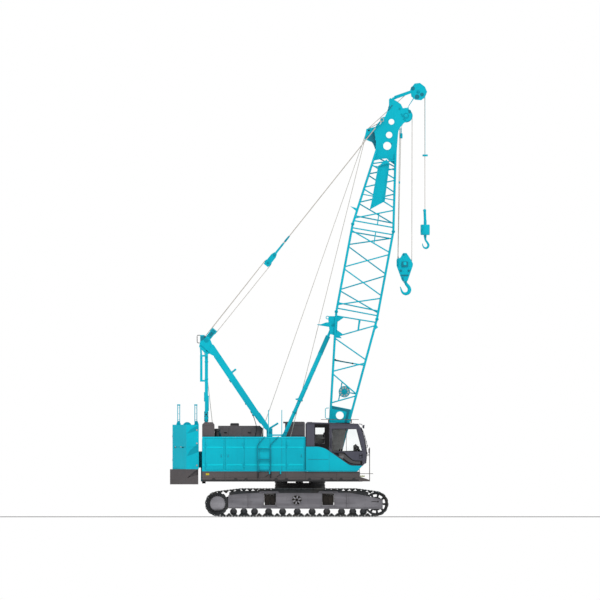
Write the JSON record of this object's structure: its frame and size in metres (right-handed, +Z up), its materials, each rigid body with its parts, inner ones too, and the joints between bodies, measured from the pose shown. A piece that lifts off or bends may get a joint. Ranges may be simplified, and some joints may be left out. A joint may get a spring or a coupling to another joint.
{
  "type": "crawler crane",
  "caption": "Crawler crane with a luffing lattice boom on a turning upper deck, a raised gantry with pendant stays, a main hook block and a ball hook on a short jib.",
  "frame": {"origin": "on the ground under the slewing axis, midway between the crawlers", "axes": "+X towards the boom and the cab front, +Y to the machine's left, +Z up"},
  "size_m": [8.728, 4.8, 14.57],
  "materials": {
    "cyan_paint": "semi-gloss",
    "grey_paint": "satin",
    "cab_grey": "satin",
    "crawler_grey": "satin",
    "track_steel": "worn",
    "weight_grey": "painted, matt",
    "bare_steel": "satin",
    "rope_steel": "greased",
    "window_glass": "clear",
    "seat_fabric": "woven",
    "black_plastic": "matt"
  },
  "bodies": {
    "chassis": {"carbody": "crawler_grey", "slew_ring": "bare_steel", "side_frame_right": "crawler_grey", "side_frame_left": "crawler_grey", "track_right": "track_steel", "track_left": "track_steel", "drive_sprockets": "crawler_grey", "idler_wheels": "track_steel", "track_rollers": "track_steel"},
    "upper": {"revolving_frame": "grey_paint", "decks": "grey_paint", "house_right": "cyan_paint", "house_left": "cyan_paint", "engine_block": "grey_paint", "engine_hood": "grey_paint", "rear_roof_box": "grey_paint", "front_roof_box": "grey_paint", "tank_box": "cyan_paint", "counterweight_base": "weight_grey", "counterweight_lower": "cyan_paint", "counterweight_upper": "cyan_paint", "gantry_front": "cyan_paint", "gantry_rear": "cyan_paint", "cab_shell": "cab_grey", "cab_side_panel": "cyan_paint", "cab_glass": "window_glass", "cab_seat": "seat_fabric", "cab_console": "black_plastic", "cab_roof_guard": "cab_grey", "mirror_rail": "grey_paint", "side_ladder": "grey_paint"},
    "boom": {"boom_base": "cyan_paint", "boom_insert": "cyan_paint", "boom_tip": "cyan_paint", "aux_jib": "cyan_paint"},
    "point_sheave_set": {"point_sheaves": "grey_paint"},
    "aux_sheave_wheel": {"aux_sheave": "grey_paint"},
    "spreader": {"lower_spreader": "cyan_paint"},
    "stays": {"upper_spreader": "cyan_paint", "pendants": "rope_steel"},
    "backstop_rod_pair": {"backstop_rods": "bare_steel"},
    "backstop_sleeve_pair": {"backstop_sleeves": "cyan_paint"},
    "main_falls": {"main_stop_weight": "grey_paint"},
    "main_block": {"main_hook_block": "cyan_paint"},
    "main_swivel": {"main_hook": "bare_steel"},
    "aux_falls": {"aux_stop_weight": "grey_paint"},
    "aux_weight": {"aux_ball": "cyan_paint"},
    "aux_swivel": {"aux_hook": "bare_steel"},
    "front_winch": {"front_drum": "grey_paint"},
    "main_winch": {"main_drum": "grey_paint"},
    "boom_winch": {"boom_drum": "grey_paint"},
    "cab_door_leaf": {"cab_door": "cab_grey", "cab_door_glass": "window_glass"},
    "leaf_right_rear": {"door_right_rear": "cyan_paint"},
    "leaf_right_middle": {"door_right_middle": "cyan_paint"},
    "leaf_right_front": {"door_right_front": "cyan_paint"},
    "leaf_left_rear": {"door_left_rear": "cyan_paint"},
    "leaf_left_middle": {"door_left_middle": "cyan_paint"},
    "leaf_left_front": {"door_left_front": "cyan_paint"}
  },
  "joints": [
    {"name": "slew", "type": "hinge", "parent": "chassis", "child": "upper", "pos_m": [0, 0, 1.13], "axis": [0, 0, 1], "continuous": true},
    {"name": "boom_luff", "type": "hinge", "parent": "upper", "child": "boom", "pos_m": [1.0584, 0, 1.5624], "axis": [0, 1, 0], "range_deg": [-0.6, 49.4]},
    {"name": "spreader_swing", "type": "hinge", "parent": "upper", "child": "spreader", "pos_m": [-3.142, 0, 5.93], "axis": [0, 1, 0], "range_deg": [-1, 44]},
    {"name": "stay_pull", "type": "slide", "parent": "spreader", "child": "stays", "axis": [0.6231, 0, 0.7821], "range_m": [-0.08, 4.95]},
    {"name": "backstop_swing", "type": "hinge", "parent": "upper", "child": "backstop_rod_pair", "pos_m": [-0.538, 0, 2.705], "axis": [0, 1, 0], "range_deg": [-1, 46.2]},
    {"name": "backstop_slide", "type": "slide", "parent": "backstop_rod_pair", "child": "backstop_sleeve_pair", "axis": [0.4039, 0, 0.9148], "range_m": [-0.03, 1.63]},
    {"name": "main_falls_swing", "type": "hinge", "parent": "boom", "child": "main_falls", "pos_m": [3.56126, 0, 13.46308], "axis": [0, 1, 0], "range_deg": [-50, 1]},
    {"name": "main_hoist", "type": "slide", "parent": "main_falls", "child": "main_block", "axis": [0, 0, 1], "range_m": [-7.3, 2]},
    {"name": "main_hook_swivel", "type": "hinge", "parent": "main_block", "child": "main_swivel", "pos_m": [3.52, 0, 7.9], "axis": [0, 0, 1], "continuous": true},
    {"name": "aux_falls_swing", "type": "hinge", "parent": "boom", "child": "aux_falls", "pos_m": [3.97501, 0, 14.27685], "axis": [0, 1, 0], "range_deg": [-50, 1]},
    {"name": "aux_hoist", "type": "slide", "parent": "aux_falls", "child": "aux_weight", "axis": [0, 0, 1], "range_m": [-8.7, 1.6]},
    {"name": "aux_hook_swivel", "type": "hinge", "parent": "aux_weight", "child": "aux_swivel", "pos_m": [4.205, 0, 9.455], "axis": [0, 0, 1], "continuous": true},
    {"name": "point_sheave_spin", "type": "hinge", "parent": "boom", "child": "point_sheave_set", "pos_m": [3.56126, 0, 13.46308], "axis": [0, 1, 0], "continuous": true},
    {"name": "aux_sheave_spin", "type": "hinge", "parent": "boom", "child": "aux_sheave_wheel", "pos_m": [3.97501, 0, 14.27685], "axis": [0, 1, 0], "continuous": true},
    {"name": "front_drum_spin", "type": "hinge", "parent": "upper", "child": "front_winch", "pos_m": [-0.76, 0, 2], "axis": [0, 1, 0], "continuous": true},
    {"name": "main_drum_spin", "type": "hinge", "parent": "upper", "child": "main_winch", "pos_m": [-1.69, 0, 2], "axis": [0, 1, 0], "continuous": true},
    {"name": "boom_drum_spin", "type": "hinge", "parent": "upper", "child": "boom_winch", "pos_m": [-2.55, 0, 2], "axis": [0, 1, 0], "continuous": true},
    {"name": "cab_door_swing", "type": "hinge", "parent": "upper", "child": "cab_door_leaf", "pos_m": [1.015, -1.652, 2.38], "axis": [0, 0, -1], "range_deg": [0, 90]},
    {"name": "right_rear_door_swing", "type": "hinge", "parent": "upper", "child": "leaf_right_rear", "pos_m": [-3.17, -1.612, 1.76], "axis": [0, 0, -1], "range_deg": [0, 100]},
    {"name": "right_middle_door_swing", "type": "hinge", "parent": "upper", "child": "leaf_right_middle", "pos_m": [-1.89, -1.612, 1.76], "axis": [0, 0, 1], "range_deg": [0, 100]},
    {"name": "right_front_door_swing", "type": "hinge", "parent": "upper", "child": "leaf_right_front", "pos_m": [-0.45, -1.612, 1.76], "axis": [0, 0, -1], "range_deg": [0, 100]},
    {"name": "left_rear_door_swing", "type": "hinge", "parent": "upper", "child": "leaf_left_rear", "pos_m": [-3.17, 1.612, 1.76], "axis": [0, 0, 1], "range_deg": [0, 100]},
    {"name": "left_middle_door_swing", "type": "hinge", "parent": "upper", "child": "leaf_left_middle", "pos_m": [-1.49, 1.612, 1.76], "axis": [0, 0, -1], "range_deg": [0, 100]},
    {"name": "left_front_door_swing", "type": "hinge", "parent": "upper", "child": "leaf_left_front", "pos_m": [-0.88, 1.612, 1.76], "axis": [0, 0, 1], "range_deg": [0, 100]}
  ],
  "couplings": [
    {"joint": "spreader_swing", "follows": "boom_luff", "ratio": 0.8795},
    {"joint": "stay_pull", "follows": "boom_luff", "m_per_rad": 5.7031},
    {"joint": "backstop_swing", "follows": "boom_luff", "ratio": 0.9251},
    {"joint": "backstop_slide", "follows": "boom_luff", "m_per_rad": 1.8684},
    {"joint": "main_falls_swing", "follows": "boom_luff", "ratio": -1},
    {"joint": "aux_falls_swing", "follows": "boom_luff", "ratio": -1}
  ]
}
